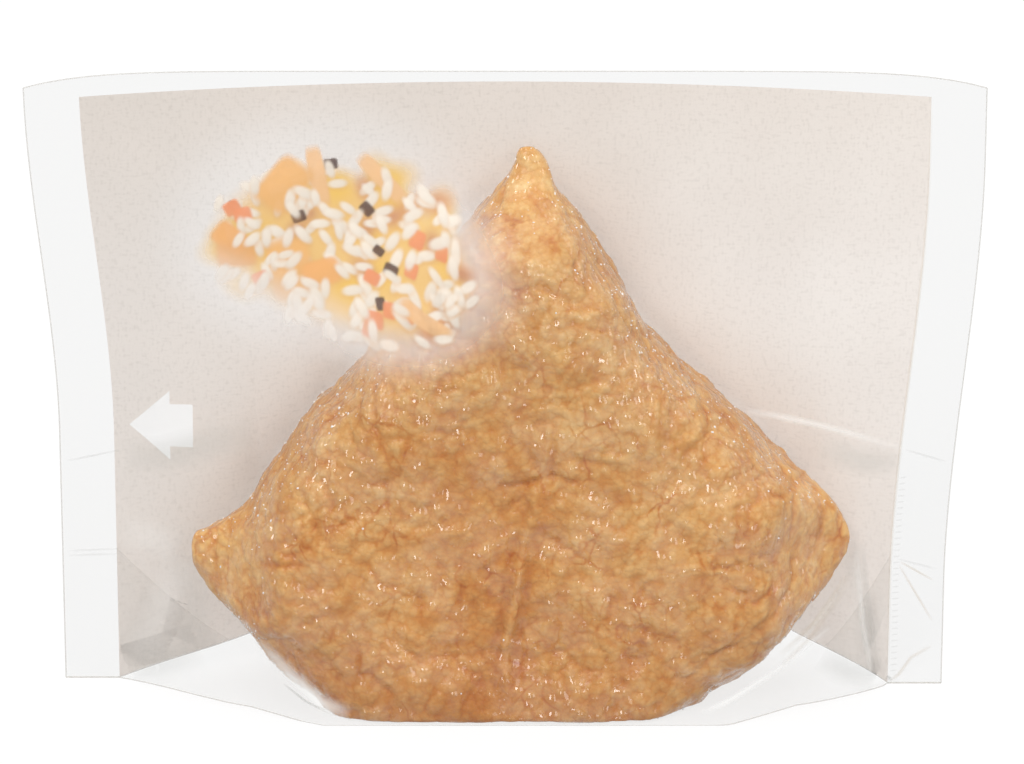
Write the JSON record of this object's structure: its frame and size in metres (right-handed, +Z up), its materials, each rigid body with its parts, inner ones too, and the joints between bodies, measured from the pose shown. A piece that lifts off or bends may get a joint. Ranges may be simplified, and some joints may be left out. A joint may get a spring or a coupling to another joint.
{
  "type": "inari sushi in a clear film pack",
  "caption": "Triangular fried tofu pouch of seasoned rice, sealed in a clear film pack that stands on its opened bottom gusset.",
  "frame": {"origin": "middle of the pack's base, on the surface it stands on", "axes": "+Z up, +X across the pack from its left seal to its right seal, -Y out of the front"},
  "size_m": [0.1394, 0.033, 0.0948],
  "materials": {
    "film": "clear, glossy, slightly wrinkled packaging film",
    "printed_film": "beige printed film with a fine mottled weave",
    "fried_tofu": "moist, wrinkled, golden brown fried tofu skin"
  },
  "bodies": {
    "root": {"film_bag": "film"}
  },
  "joints": []
}
